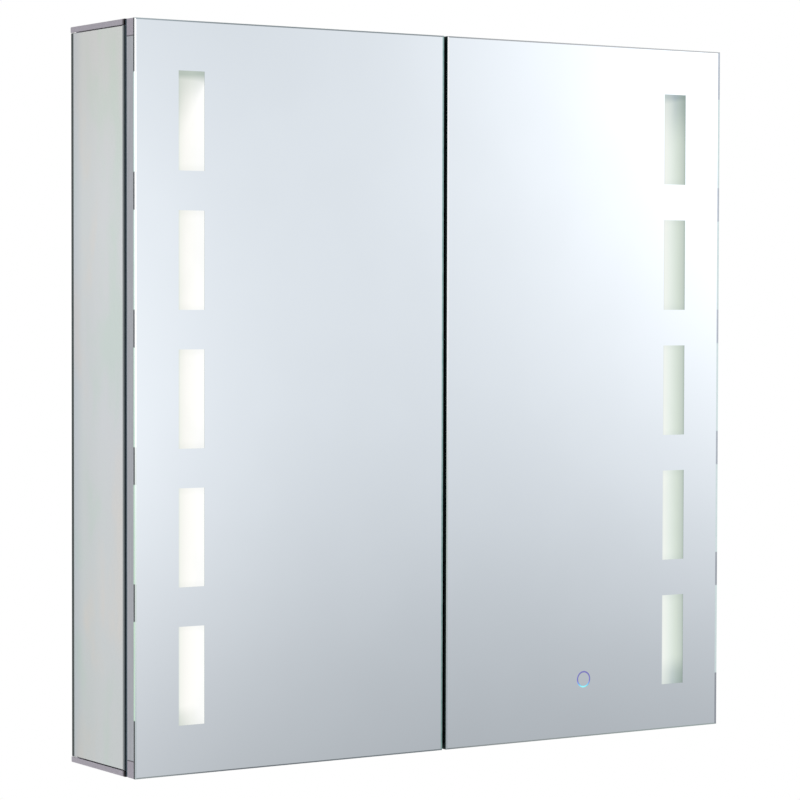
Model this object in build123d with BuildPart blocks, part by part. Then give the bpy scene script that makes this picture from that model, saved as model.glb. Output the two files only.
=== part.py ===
"""Medicine cabinet with two lit mirror doors, for fixing to a wall.

The origin is the centre of the rear face, which lies against the wall. +X is to the right as the
cabinet is seen from the front, +Y goes into the wall and +Z is up. Sizes are in millimetres.

Most of the cabinet is symmetric about the YZ plane. Its left half is drawn with two handy offsets,
LEFT and FRONT: an "inward" size is measured from the outer face of the left side, and a "back" size
from the front face of the door glass. Right-hand pieces are mirrored from left-hand ones.
"""

import os

from build123d import *

# Overall size
WIDTH = 636.0
HEIGHT = 650.0
DEPTH = 120.0
HALF = WIDTH / 2
LEFT = -HALF
FRONT = -DEPTH
TOP = HEIGHT / 2

# Doors, from the front glass back to the inner mirror
DOOR_GAP = 4.0
DOOR_MARGIN = 0.5
DOOR_WIDTH = (WIDTH - DOOR_GAP) / 2
DOOR_TOP = TOP - DOOR_MARGIN
GLASS = 3.0
DOOR_ARRIS = 1.2
DOOR_DEPTH = 15.0
FRAME_WALL = 1.5
RAIL_HEIGHT = 15.0
HINGE_STILE = 36.0
FREE_STILE = 12.0
STILE_TOP = DOOR_TOP - RAIL_HEIGHT
MIRROR_PLAY = 0.5
EDGE_BREAK = 0.3
KEY_BACK = (5.5, 12.5)
KEY_WIDTH = 8.0
KEY_LEG = 32.0
BUMPER_INWARD = 296.0
BUMPER_UP = 316.0
BUMPER_RADII = (3.5, 2.6)
BUMPER_HEIGHT = 4.6
STILE_GROMMET_INWARD = 18.0
STILE_GROMMET_UP = 290.0

# Ground edge of the side mirrors, the inner mirrors and the shelves
GLASS_ARRIS = 0.4

# Lit windows: frosted rectangles where the silvering is left off
WINDOW_WIDTH = 25.4
WINDOW_HEIGHT = 85.4
WINDOW_INSET = 42.2
WINDOW_PITCH = 119.4
WINDOW_COUNT = 5
ETCH_DEPTH = 0.2
WINDOW_HEIGHTS = [(i - (WINDOW_COUNT - 1) / 2) * WINDOW_PITCH for i in range(WINDOW_COUNT)]

# Light box behind the windows
LIGHT_BOX = (37.0, 73.0)
LIGHT_BOX_BACK = (5.0, 11.5)
LIGHT_BOX_TOP = 300.0
LIGHT_BOX_WALL = 1.0
DIFFUSER = 2.0
LED_PITCH = 20.0
LED_COUNT = 29
LED_SIZE = 2.8
LED_HEIGHT = 1.2
LED_BOARD = 1.0
LED_BOARD_WIDTH = 4.8

# Touch switch in the right door
TOUCH_X = 157.5
TOUCH_Z = -270.3
TOUCH_RADIUS = 7.75
TOUCH_BORE = 6.35
TOUCH_GUIDE = 3.0
TOUCH_PAD = 5.0
TOUCH_BOARD = 32.0
TOUCH_BOARD_SHEET = 1.6
TOUCH_PLUG = 8.0

# Carcass
CARCASS_FRONT = 20.0
SHEET = 1.5
TRAY_RIM = 5.0
TRAY_FRONT_RIM = 12.0
TRAY_INNER = TOP - SHEET
TRAY_CORNER = 0.8
SIDE_WALL = (3.5, 5.5)
SIDE_MIRROR = (0.5, 3.5)
SIDE_MIRROR_BACK = 116.0
SIDE_TOP = TOP - TRAY_RIM - 0.6
LIP_DEPTH = 3.8
RETURN_SHEET = 2.0
FRONT_RETURN = 12.0
REAR_RETURN = 20.0
REAR_RETURN_TOP = 315.0
BACK_SHEET = 1.2
BACK_FACE = DEPTH - BACK_SHEET
BACK_MARGIN = 0.5
BACK_TOP = TOP - TRAY_RIM - BACK_MARGIN
INNER_MIRROR_INWARD = 21.0
INNER_MIRROR_UP = (-280.0, 255.0)
SEAL_BACK = 3.2
SEAL_WIDTH = 4.0
SEAL_INWARD = 1.5

# Corner brackets, and the screws that hold the carcass together
BRACKET_LEG = 20.0
BRACKET_SHEET = 1.5
BRACKET_BACKS = ((40.0, 54.0), (92.0, 106.0))
BRACKET_SCREW_DROP = 11.0
TRAY_SCREW_INWARD = SIDE_WALL[1] + BRACKET_LEG - 7.0
TRAY_SCREW_DEPTH = 1.2
PANEL_SCREW_INWARD = 13.0
PANEL_SCREW_HEIGHTS = (-300.0, -150.0, 0.0, 150.0, 300.0)
SCREW_RADIUS = 1.5
SCREW_HEAD = 2.75
SCREW_HEAD_HEIGHT = 1.8

# Wall fixings: four slots in the back panel
FIXING_X = 280.0
FIXING_HEIGHTS = (-297.0, 292.0)
SLOT_LENGTH = 14.0
SLOT_RADIUS = 3.25

# Cooling slots of the electrics compartment, in the back panel
VENT_X = 230.0
VENT_Z = 292.0
VENT_PITCH = 10.0
VENT_COUNT = 5
VENT_LENGTH = 24.0
VENT_WIDTH = 4.0

# Shelves
SHELF_HEIGHTS = {"lower_shelf": -176.0, "middle_shelf": -32.0, "upper_shelf": 112.0}
SHELF_HALF_WIDTH = 304.0
SHELF_THICKNESS = 5.0
SHELF_BACK = (32.0, 112.0)
SHELF_CORNER = 3.0
PIN_RADIUS = 2.5
PIN_LENGTH = 16.0
PIN_BACKS = (48.0, 96.0)
PIN_COLLAR = 3.65
PIN_COLLAR_LENGTH = 1.5

# Electrics compartment at the top
COVER_BOTTOM = 258.0
COVER_FRONT = 32.0
COVER_SHEET = 1.2
COVER_TAB = 16.0
COVER_TAB_BACK = (55.0, 95.0)
COVER_SCREW_BACK = 75.0
COVER_SCREW_UP = COVER_BOTTOM + 10.0
ENTRY_X = 92.0
ENTRY_Z = 292.0
ENTRY_RADIUS = 8.0
ENTRY_BORE = 4.0
ENTRY_SLEEVE = 7.0
ENTRY_FLANGE = 3.0
ENTRY_FLANGE_DEPTH = 2.5
LEAD_HOLE = 5.0
LEAD_X = 270.0
LEAD_Z = 290.0
GROMMET_WALL = 2.0
GROMMET_HALF_LENGTH = 2.5

# Electrics on the back panel: inward and up ranges, and how far each stands forward
DRIVER_INWARD = (148.0, 308.0)
DRIVER_UP = (272.0, 312.0)
DRIVER_HEIGHT = 22.0
DRIVER_EAR = 8.0
DRIVER_EAR_UP = (284.0, 300.0)
DRIVER_EAR_SHEET = 2.0
DRIVER_EAR_HOLE = 2.0
TERMINAL_INWARD = (348.0, 384.0)
TERMINAL_UP = (284.0, 304.0)
TERMINAL_HEIGHT = 16.0
TERMINAL_POLES = (354.0, 366.0, 378.0)
TERMINAL_HOLE = 2.4
TERMINAL_HOLE_DEPTH = 7.0
CONTROLLER_INWARD = (450.0, 520.0)
CONTROLLER_UP = (276.0, 306.0)
CONTROLLER_HEIGHT = 16.0
CONTROLLER_PLUGS = (284.0, 291.0, 298.0)
CONTROLLER_PLUG_BACK = (BACK_FACE - 12.0, BACK_FACE - 6.0)
CONTROLLER_PLUG_LENGTH = 4.0
CONTROLLER_PLUG_WIDTH = 5.0

# Hinges. A link turns on the arm's pivot, and the door turns on the link's other end.
ARM_PIVOT = (24.0, 20.0)
DOOR_PIVOT = (8.0, 11.5)
HINGE_HEIGHTS = (-225.0, 225.0)
PIVOT_PIN = 1.25
PIVOT_BORE = 1.3
BARREL = 2.6
LINK_BOW = 4.2
LINK_BAND = 2.0
LINK_HALF_HEIGHT = 4.0
CHEEK = (4.4, 6.4)
CHEEK_EYE = 3.2
CHEEK_CORNERS = ((21.5, 58.0), (13.0, 36.0), (13.0, 65.0))
CHEEK_CORNER_RADIUS = 3.0
CUP_HALF_HEIGHT = 17.0
CUP_POCKET = 5.5
CUP_INWARD = (FRAME_WALL, 33.0)
CUP_BACK = (4.5, DOOR_DEPTH)
CUP_FLOOR = 1.5
CUP_SIDE = 2.0
CUP_PIN_HALF_LENGTH = 10.0
PLATE_INWARD = (SIDE_WALL[1], 8.5)
PLATE_RAIL = 10.0
PLATE_BACK = (38.0, 68.0)
PLATE_HALF_HEIGHT = 21.0
PLATE_CORNER = 4.0
PLATE_SCREW_BACK = 52.0
PLATE_SCREW_RISE = 15.0
ARM_WEB = (22.5, 24.5)
ARM_BACK = (26.0, 58.0)
ARM_SCREW_BACKS = (38.0, 52.0)
ARM_SCREW_HEAD = 1.6

os.makedirs("parts", exist_ok=True)


def save(piece, name):
    """Label a finished piece and write it as its own node."""
    piece.part.label = name
    export_step(piece.part, f"parts/{name}.step")


def save_pair(piece, name):
    """Write a left-hand piece and its mirror image on the right."""
    save(piece, f"left_{name}")
    with BuildPart() as twin:
        mirror(piece.part, about=Plane.YZ)
    save(twin, f"right_{name}")


def at(inward, back, up):
    """Point given inward from the left side, back from the door glass, and up."""
    return (LEFT + inward, FRONT + back, up)


def around(middle, half):
    """Pair of sizes at equal distances from their middle."""
    return (middle - half, middle + half)


def block(inward, back, up, mode=Mode.ADD):
    """Box between pairs of inward, back and up sizes."""
    with Locations(at(sum(inward) / 2, sum(back) / 2, sum(up) / 2)):
        Box(inward[1] - inward[0], back[1] - back[0], up[1] - up[0], mode=mode)


def bar(half_width, back, up, mode=Mode.ADD):
    """Box centred on the cabinet's middle."""
    block(around(HALF, half_width), back, up, mode=mode)


def rod(radius, start, end, mode=Mode.ADD):
    """Cylinder between two points that differ along one axis."""
    along = Vector(*end) - Vector(*start)
    plane = Plane(origin=start, z_dir=along)
    with Locations(plane.location):
        Cylinder(radius, along.length, align=(Align.CENTER, Align.CENTER, Align.MIN), mode=mode)


def rod_inward(radius, inward, back, up, mode=Mode.ADD):
    """Cylinder across the cabinet, between two inward sizes."""
    rod(radius, at(inward[0], back, up), at(inward[1], back, up), mode=mode)


def rod_back(radius, inward, back, up, mode=Mode.ADD):
    """Cylinder from front to rear, between two back sizes."""
    rod(radius, at(inward, back[0], up), at(inward, back[1], up), mode=mode)


def rod_up(radius, inward, back, up, mode=Mode.ADD):
    """Upright cylinder between two heights."""
    rod(radius, at(inward, back, up[0]), at(inward, back, up[1]), mode=mode)


def cross_plane(up):
    """Plane parallel to the floor whose sketch axes are the inward and back sizes."""
    return Plane(origin=(LEFT, FRONT, up))


def front_plane(x, y, z):
    """Upright plane that faces the front, with X to the right."""
    return Plane(origin=(x, y, z), x_dir=(1, 0, 0), z_dir=(0, -1, 0))


def pan_screw(seat, tip, head_height=SCREW_HEAD_HEIGHT):
    """Pan-head screw: the shank runs from the seat under its head to its tip."""
    way = (Vector(*seat) - Vector(*tip)).normalized()
    head_end = Vector(*seat) + way * head_height
    rod(SCREW_HEAD, seat, tuple(head_end))
    rod(SCREW_RADIUS, tip, seat)
    with BuildSketch(Plane(origin=tuple(head_end), z_dir=way)) as drive:
        Rectangle(SCREW_HEAD * 1.1, SCREW_HEAD * 0.3)
        Rectangle(SCREW_HEAD * 0.3, SCREW_HEAD * 1.1)
    extrude(drive.sketch, amount=-head_height * 0.5, mode=Mode.SUBTRACT)


# ---------------------------------------------------------------- carcass


def bracket_places():
    """Corner brackets: (bottom -1 or top +1, back range)."""
    return [(sign, back) for sign in (-1, 1) for back in BRACKET_BACKS]


def wall_screw_up(sign):
    """Height of the screw in a bracket's upright leg."""
    return sign * (TRAY_INNER - BRACKET_SCREW_DROP)


def tray(sign):
    """Folded panel closing the carcass at the top (+1) or the bottom (-1)."""
    outer = sign * TOP
    rim_up = sorted((outer, sign * (TOP - TRAY_RIM)))
    front_rim_up = sorted((outer, sign * (TOP - TRAY_FRONT_RIM)))
    with BuildPart() as panel:
        bar(HALF, (CARCASS_FRONT, DEPTH), sorted((outer, sign * TRAY_INNER)))
        for inward in ((0, SHEET), (WIDTH - SHEET, WIDTH)):
            block(inward, (CARCASS_FRONT, DEPTH), rim_up)
        bar(HALF - SIDE_WALL[1], (CARCASS_FRONT, CARCASS_FRONT + SHEET), front_rim_up)
        fillet(panel.edges().filter_by(Axis.Y).group_by(Axis.Z)[-1 if sign > 0 else 0], TRAY_CORNER)
        screw_up = (sign * TRAY_INNER, sign * (TRAY_INNER + TRAY_SCREW_DEPTH))
        for inward in (TRAY_SCREW_INWARD, WIDTH - TRAY_SCREW_INWARD):
            for back in BRACKET_BACKS:
                rod_up(SCREW_RADIUS, inward, sum(back) / 2, screw_up, mode=Mode.SUBTRACT)
    return panel


save(tray(1), "top_panel")
save(tray(-1), "bottom_panel")

with BuildPart() as side_wall:
    block(SIDE_WALL, (CARCASS_FRONT, SIDE_MIRROR_BACK), (-TRAY_INNER, TRAY_INNER))
    # Outward lip that covers the front edge of the side mirror
    lip_back = (CARCASS_FRONT, CARCASS_FRONT + LIP_DEPTH)
    block((SIDE_MIRROR[0], SIDE_WALL[0]), lip_back, (-SIDE_TOP, SIDE_TOP))
    # Inward return at the front
    return_back = (CARCASS_FRONT, CARCASS_FRONT + RETURN_SHEET)
    return_up = around(0, TOP - TRAY_FRONT_RIM)
    block((SIDE_WALL[1], FRONT_RETURN), return_back, return_up)
    # Inward return at the rear, which the back panel is screwed to
    rear_up = around(0, REAR_RETURN_TOP)
    block(SIDE_WALL, (SIDE_MIRROR_BACK, BACK_FACE), rear_up)
    block((SIDE_WALL[1], REAR_RETURN), (BACK_FACE - RETURN_SHEET, BACK_FACE), rear_up)
    for up in PANEL_SCREW_HEIGHTS:
        screw_back = (BACK_FACE - RETURN_SHEET, BACK_FACE)
        rod_back(SCREW_RADIUS, PANEL_SCREW_INWARD, screw_back, up, mode=Mode.SUBTRACT)
    for hinge in HINGE_HEIGHTS:
        for up in around(hinge, PLATE_SCREW_RISE):
            rod_inward(SCREW_RADIUS, SIDE_WALL, PLATE_SCREW_BACK, up, mode=Mode.SUBTRACT)
    for sign, back in bracket_places():
        rod_inward(SCREW_RADIUS, SIDE_WALL, sum(back) / 2, wall_screw_up(sign), mode=Mode.SUBTRACT)
    for height in SHELF_HEIGHTS.values():
        for back in PIN_BACKS:
            pin_up = height - SHELF_THICKNESS / 2 - PIN_RADIUS
            rod_inward(PIN_RADIUS, SIDE_WALL, back, pin_up, mode=Mode.SUBTRACT)
save_pair(side_wall, "side_wall")

with BuildPart() as side_mirror:
    block(SIDE_MIRROR, (CARCASS_FRONT + LIP_DEPTH, SIDE_MIRROR_BACK), (-SIDE_TOP, SIDE_TOP))
    chamfer(side_mirror.faces().sort_by(Axis.X)[0].edges(), GLASS_ARRIS)
save_pair(side_mirror, "side_mirror")

with BuildPart() as back_panel:
    back_half = HALF - BACK_MARGIN
    bar(back_half, (BACK_FACE, DEPTH), (-BACK_TOP, BACK_TOP))
    for sign in (-1, 1):
        rim_up = sorted((sign * BACK_TOP, sign * (BACK_TOP - BACK_SHEET)))
        bar(back_half, (SIDE_MIRROR_BACK, DEPTH), rim_up)
    for rim in (BACK_MARGIN, WIDTH - BACK_MARGIN - BACK_SHEET):
        block((rim, rim + BACK_SHEET), (SIDE_MIRROR_BACK, DEPTH), (-BACK_TOP, BACK_TOP))
    for fixing in FIXING_HEIGHTS:
        with BuildSketch(front_plane(0, 0, fixing)) as slots:
            with Locations((-FIXING_X, 0), (FIXING_X, 0)):
                SlotOverall(SLOT_LENGTH, 2 * SLOT_RADIUS)
        extrude(slots.sketch, amount=BACK_SHEET, mode=Mode.SUBTRACT)
    with BuildSketch(front_plane(0, 0, VENT_Z)) as vents:
        for side in (-1, 1):
            with Locations((side * VENT_X, 0)):
                with GridLocations(VENT_PITCH, VENT_PITCH, VENT_COUNT, 1):
                    SlotOverall(VENT_LENGTH, VENT_WIDTH, rotation=90)
    extrude(vents.sketch, amount=BACK_SHEET, mode=Mode.SUBTRACT)
    for inward in (PANEL_SCREW_INWARD, WIDTH - PANEL_SCREW_INWARD):
        for up in PANEL_SCREW_HEIGHTS:
            rod_back(SCREW_RADIUS, inward, (BACK_FACE, DEPTH), up, mode=Mode.SUBTRACT)
    rod_back(ENTRY_RADIUS, HALF + ENTRY_X, (BACK_FACE, DEPTH), ENTRY_Z, mode=Mode.SUBTRACT)
save(back_panel, "back_panel")

with BuildPart() as back_panel_screws:
    for up in PANEL_SCREW_HEIGHTS:
        seat = at(PANEL_SCREW_INWARD, BACK_FACE - RETURN_SHEET, up)
        pan_screw(seat, at(PANEL_SCREW_INWARD, DEPTH, up))
    mirror(about=Plane.YZ)
save(back_panel_screws, "back_panel_screws")

with BuildPart() as inner_back_mirror:
    bar(HALF - INNER_MIRROR_INWARD, (BACK_FACE - GLASS, BACK_FACE), INNER_MIRROR_UP)
    chamfer(inner_back_mirror.faces().sort_by(Axis.Y)[0].edges(), GLASS_ARRIS)
save(inner_back_mirror, "inner_back_mirror")

with BuildPart() as corner_brackets:
    inner = SIDE_WALL[1]
    for sign, back in bracket_places():
        middle = sum(back) / 2
        upright_up = sorted((sign * TRAY_INNER, sign * (TRAY_INNER - BRACKET_LEG)))
        level_up = sorted((sign * TRAY_INNER, sign * (TRAY_INNER - BRACKET_SHEET)))
        upright_inward = (inner, inner + BRACKET_SHEET)
        block(upright_inward, back, upright_up)
        block((inner, inner + BRACKET_LEG), back, level_up)
        rod_inward(SCREW_RADIUS, upright_inward, middle, wall_screw_up(sign), mode=Mode.SUBTRACT)
        rod_up(SCREW_RADIUS, TRAY_SCREW_INWARD, middle, level_up, mode=Mode.SUBTRACT)
    mirror(about=Plane.YZ)
save(corner_brackets, "corner_brackets")

with BuildPart() as carcass_screws:
    for sign, back in bracket_places():
        middle = sum(back) / 2
        up = wall_screw_up(sign)
        pan_screw(at(SIDE_WALL[1] + BRACKET_SHEET, middle, up), at(SIDE_WALL[0], middle, up))
        seat = at(TRAY_SCREW_INWARD, middle, sign * (TRAY_INNER - BRACKET_SHEET))
        pan_screw(seat, at(TRAY_SCREW_INWARD, middle, sign * (TRAY_INNER + TRAY_SCREW_DEPTH)))
    mirror(about=Plane.YZ)
save(carcass_screws, "carcass_screws")

with BuildPart() as door_seal:
    seal_back = (CARCASS_FRONT - SEAL_BACK, CARCASS_FRONT)
    seal_up = TOP - TRAY_RIM + 0.3
    for start in (SEAL_INWARD, WIDTH - SEAL_INWARD - SEAL_WIDTH):
        block((start, start + SEAL_WIDTH), seal_back, (-seal_up, seal_up))
    for sign in (-1, 1):
        bar(HALF - SEAL_INWARD, seal_back, sorted((sign * seal_up, sign * (seal_up + SEAL_WIDTH))))
    fillet(door_seal.faces().sort_by(Axis.Y)[0].edges(), 0.9)
save(door_seal, "door_seal")

# ---------------------------------------------------------------- shelves

for name, height in SHELF_HEIGHTS.items():
    with BuildPart() as shelf:
        bar(SHELF_HALF_WIDTH, SHELF_BACK, around(height, SHELF_THICKNESS / 2))
        fillet(shelf.edges().filter_by(Axis.Z), SHELF_CORNER)
        chamfer(shelf.faces().filter_by(Axis.Z).edges(), GLASS_ARRIS)
    save(shelf, name)

with BuildPart() as shelf_pins:
    for height in SHELF_HEIGHTS.values():
        pin_up = height - SHELF_THICKNESS / 2 - PIN_RADIUS
        for back in PIN_BACKS:
            rod_inward(PIN_RADIUS, (SIDE_WALL[0], SIDE_WALL[1] + PIN_LENGTH), back, pin_up)
            rod_inward(PIN_COLLAR, (SIDE_WALL[1], SIDE_WALL[1] + PIN_COLLAR_LENGTH), back, pin_up)
    mirror(about=Plane.YZ)
save(shelf_pins, "shelf_pins")

# ---------------------------------------------------------------- electrics

with BuildPart() as electrics_cover:
    cover_half = HALF - SIDE_WALL[1]
    cover_back = (COVER_FRONT, BACK_FACE - RETURN_SHEET)
    front_back = (COVER_FRONT, COVER_FRONT + COVER_SHEET)
    bar(cover_half, cover_back, (COVER_BOTTOM, COVER_BOTTOM + COVER_SHEET))
    bar(cover_half, front_back, (COVER_BOTTOM, TRAY_INNER))
    for side in (-1, 1):
        tab = around(HALF + side * (cover_half - COVER_SHEET / 2), COVER_SHEET / 2)
        block(tab, COVER_TAB_BACK, (COVER_BOTTOM, COVER_BOTTOM + COVER_TAB))
        rod_inward(SCREW_RADIUS, tab, COVER_SCREW_BACK, COVER_SCREW_UP, mode=Mode.SUBTRACT)
        rod_back(LEAD_HOLE, HALF + side * LEAD_X, front_back, LEAD_Z, mode=Mode.SUBTRACT)
    front_edges = electrics_cover.edges().filter_by(Axis.X).group_by(Axis.Y)[0]
    fillet(front_edges.sort_by(Axis.Z)[0], 1.0)
save(electrics_cover, "electrics_cover")

with BuildPart() as cover_screws:
    seat = at(SIDE_WALL[1] + COVER_SHEET, COVER_SCREW_BACK, COVER_SCREW_UP)
    pan_screw(seat, at(SIDE_WALL[1], COVER_SCREW_BACK, COVER_SCREW_UP))
    mirror(about=Plane.YZ)
save(cover_screws, "cover_screws")

with BuildPart() as led_driver:
    block(DRIVER_INWARD, (BACK_FACE - DRIVER_HEIGHT, BACK_FACE), DRIVER_UP)
    fillet(led_driver.edges().filter_by(Axis.Y), 2.0)
    chamfer(led_driver.faces().sort_by(Axis.Y)[0].edges(), 1.0)
    ear_back = (BACK_FACE - DRIVER_EAR_SHEET, BACK_FACE)
    for start in (DRIVER_INWARD[0] - DRIVER_EAR, DRIVER_INWARD[1]):
        block((start, start + DRIVER_EAR), ear_back, DRIVER_EAR_UP)
        hole_up = sum(DRIVER_EAR_UP) / 2
        rod_back(DRIVER_EAR_HOLE, start + DRIVER_EAR / 2, ear_back, hole_up, mode=Mode.SUBTRACT)
save(led_driver, "led_driver")

with BuildPart() as terminal_block:
    terminal_front = BACK_FACE - TERMINAL_HEIGHT
    block(TERMINAL_INWARD, (terminal_front, BACK_FACE), TERMINAL_UP)
    chamfer(terminal_block.faces().sort_by(Axis.Y)[0].edges().filter_by(Axis.X), 3.0)
    for pole in TERMINAL_POLES:
        wire_back = (terminal_front, terminal_front + TERMINAL_HOLE_DEPTH)
        rod_back(TERMINAL_HOLE, pole, wire_back, sum(TERMINAL_UP) / 2, mode=Mode.SUBTRACT)
save(terminal_block, "terminal_block")

with BuildPart() as touch_controller:
    block(CONTROLLER_INWARD, (BACK_FACE - CONTROLLER_HEIGHT, BACK_FACE), CONTROLLER_UP)
    fillet(touch_controller.edges().filter_by(Axis.Y), 2.0)
    chamfer(touch_controller.faces().sort_by(Axis.Y)[0].edges(), 0.8)
    plug_inward = (CONTROLLER_INWARD[1], CONTROLLER_INWARD[1] + CONTROLLER_PLUG_LENGTH)
    for up in CONTROLLER_PLUGS:
        block(plug_inward, CONTROLLER_PLUG_BACK, around(up, CONTROLLER_PLUG_WIDTH / 2))
save(touch_controller, "touch_controller")

with BuildPart() as mains_grommet:
    entry_inward = HALF + ENTRY_X
    sleeve_back = (DEPTH - ENTRY_SLEEVE, DEPTH)
    rod_back(ENTRY_RADIUS, entry_inward, sleeve_back, ENTRY_Z)
    flange_back = (BACK_FACE - ENTRY_FLANGE_DEPTH, BACK_FACE)
    rod_back(ENTRY_RADIUS + ENTRY_FLANGE, entry_inward, flange_back, ENTRY_Z)
    rod_back(ENTRY_BORE, entry_inward, sleeve_back, ENTRY_Z, mode=Mode.SUBTRACT)
save(mains_grommet, "mains_grommet")

with BuildPart() as lead_grommets:
    lead_inward = HALF - LEAD_X
    middle = COVER_FRONT + COVER_SHEET / 2
    grommet_back = around(middle, GROMMET_HALF_LENGTH)
    rod_back(LEAD_HOLE, lead_inward, grommet_back, LEAD_Z)
    for flange_back in ((grommet_back[0], COVER_FRONT), (COVER_FRONT + COVER_SHEET, grommet_back[1])):
        rod_back(LEAD_HOLE + GROMMET_WALL, lead_inward, flange_back, LEAD_Z)
    rod_back(LEAD_HOLE - GROMMET_WALL, lead_inward, grommet_back, LEAD_Z, mode=Mode.SUBTRACT)
    mirror(about=Plane.YZ)
save(lead_grommets, "lead_grommets")

# ---------------------------------------------------------------- hinges

with BuildPart() as hinge_plates:
    for hinge in HINGE_HEIGHTS:
        block(PLATE_INWARD, PLATE_BACK, around(hinge, PLATE_HALF_HEIGHT))
        block((PLATE_INWARD[1], PLATE_RAIL), PLATE_BACK, around(hinge, CHEEK[1]))
    fillet(hinge_plates.edges().filter_by(Axis.X).group_by(Axis.X)[0], PLATE_CORNER)
    for hinge in HINGE_HEIGHTS:
        for up in around(hinge, PLATE_SCREW_RISE):
            rod_inward(SCREW_RADIUS, PLATE_INWARD, PLATE_SCREW_BACK, up, mode=Mode.SUBTRACT)
        for back in ARM_SCREW_BACKS:
            rail_inward = (PLATE_INWARD[1], PLATE_RAIL)
            rod_inward(SCREW_RADIUS, rail_inward, back, hinge, mode=Mode.SUBTRACT)
    mirror(about=Plane.YZ)
save(hinge_plates, "hinge_plates")

with BuildPart() as hinge_plate_screws:
    for hinge in HINGE_HEIGHTS:
        for up in around(hinge, PLATE_SCREW_RISE):
            seat = at(PLATE_INWARD[1], PLATE_SCREW_BACK, up)
            pan_screw(seat, at(SIDE_WALL[0], PLATE_SCREW_BACK, up))
    mirror(about=Plane.YZ)
save(hinge_plate_screws, "hinge_plate_screws")

with BuildPart() as hinge_arms:
    for hinge in HINGE_HEIGHTS:
        for low, high in ((-CHEEK[1], -CHEEK[0]), CHEEK):
            with BuildSketch(cross_plane(hinge + low)) as cheek:
                with Locations(ARM_PIVOT):
                    Circle(CHEEK_EYE)
                with Locations(*CHEEK_CORNERS):
                    Circle(CHEEK_CORNER_RADIUS)
                make_hull()
                with Locations(ARM_PIVOT):
                    Circle(PIVOT_PIN, mode=Mode.SUBTRACT)
            extrude(cheek.sketch, amount=high - low)
        block(ARM_WEB, ARM_BACK, around(hinge, CHEEK[1]))
        for back in ARM_SCREW_BACKS:
            rod_inward(SCREW_RADIUS, ARM_WEB, back, hinge, mode=Mode.SUBTRACT)
    mirror(about=Plane.YZ)
save(hinge_arms, "hinge_arms")

with BuildPart() as hinge_arm_screws:
    for hinge in HINGE_HEIGHTS:
        for back in ARM_SCREW_BACKS:
            tip = at(PLATE_INWARD[1], back, hinge)
            pan_screw(at(ARM_WEB[1], back, hinge), tip, head_height=ARM_SCREW_HEAD)
    mirror(about=Plane.YZ)
save(hinge_arm_screws, "hinge_arm_screws")

with BuildPart() as arm_pins:
    for hinge in HINGE_HEIGHTS:
        rod_up(PIVOT_PIN, *ARM_PIVOT, around(hinge, CHEEK[1]))
    mirror(about=Plane.YZ)
save(arm_pins, "arm_pins")

# The link is bowed so that it clears the corner of the door frame when the door stands open.
span = Vector(*ARM_PIVOT) - Vector(*DOOR_PIVOT)
side_way = Vector(span.Y, -span.X).normalized()
bow_point = (Vector(*DOOR_PIVOT) + Vector(*ARM_PIVOT)) / 2 + side_way * LINK_BOW

with BuildPart() as hinge_links:
    for hinge in HINGE_HEIGHTS:
        with BuildSketch(cross_plane(hinge - LINK_HALF_HEIGHT)) as outline:
            with BuildLine() as spine:
                ThreePointArc(DOOR_PIVOT, (bow_point.X, bow_point.Y), ARM_PIVOT)
            trace(spine.line, line_width=LINK_BAND)
            with Locations(DOOR_PIVOT, ARM_PIVOT):
                Circle(BARREL)
            with Locations(DOOR_PIVOT, ARM_PIVOT):
                Circle(PIVOT_BORE, mode=Mode.SUBTRACT)
        extrude(outline.sketch, amount=2 * LINK_HALF_HEIGHT)
save_pair(hinge_links, "hinge_links")

# ---------------------------------------------------------------- doors

with BuildPart() as left_door_glass:
    block((0, DOOR_WIDTH), (0, GLASS), (-DOOR_TOP, DOOR_TOP))
    chamfer(left_door_glass.faces().sort_by(Axis.Y)[0].edges(), DOOR_ARRIS)
    # Etched windows, in the back of the glass
    for up in WINDOW_HEIGHTS:
        window_inward = (WINDOW_INSET, WINDOW_INSET + WINDOW_WIDTH)
        window_up = around(up, WINDOW_HEIGHT / 2)
        block(window_inward, (GLASS - ETCH_DEPTH, GLASS), window_up, mode=Mode.SUBTRACT)
save(left_door_glass, "left_door_glass")

with BuildPart() as right_door_glass:
    mirror(left_door_glass.part, about=Plane.YZ)
    with BuildSketch(front_plane(TOUCH_X, FRONT + GLASS - ETCH_DEPTH, TOUCH_Z)) as ring:
        Circle(TOUCH_RADIUS)
        Circle(TOUCH_BORE, mode=Mode.SUBTRACT)
    extrude(ring.sketch, amount=-ETCH_DEPTH, mode=Mode.SUBTRACT)
save(right_door_glass, "right_door_glass")


def rail(sign):
    """Channel along the top (+1) or the bottom (-1) of a door, open towards the door's middle."""
    outer = sign * DOOR_TOP
    inner = sign * STILE_TOP
    with BuildPart() as channel:
        block((0, DOOR_WIDTH), (GLASS, DOOR_DEPTH), sorted((outer, inner)))
        outer_face = channel.faces().sort_by(Axis.Z)[-1 if sign > 0 else 0]
        ends = channel.faces().filter_by(Axis.X).edges()
        chamfer(ends + outer_face.edges().filter_by(Axis.X), EDGE_BREAK)
        hollow_up = sorted((outer - sign * FRAME_WALL, inner))
        hollow_inward = (FRAME_WALL, DOOR_WIDTH - FRAME_WALL)
        hollow_back = (GLASS + FRAME_WALL, DOOR_DEPTH - FRAME_WALL)
        block(hollow_inward, hollow_back, hollow_up, mode=Mode.SUBTRACT)
    return channel


save_pair(rail(1), "top_rail")
save_pair(rail(-1), "bottom_rail")

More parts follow.
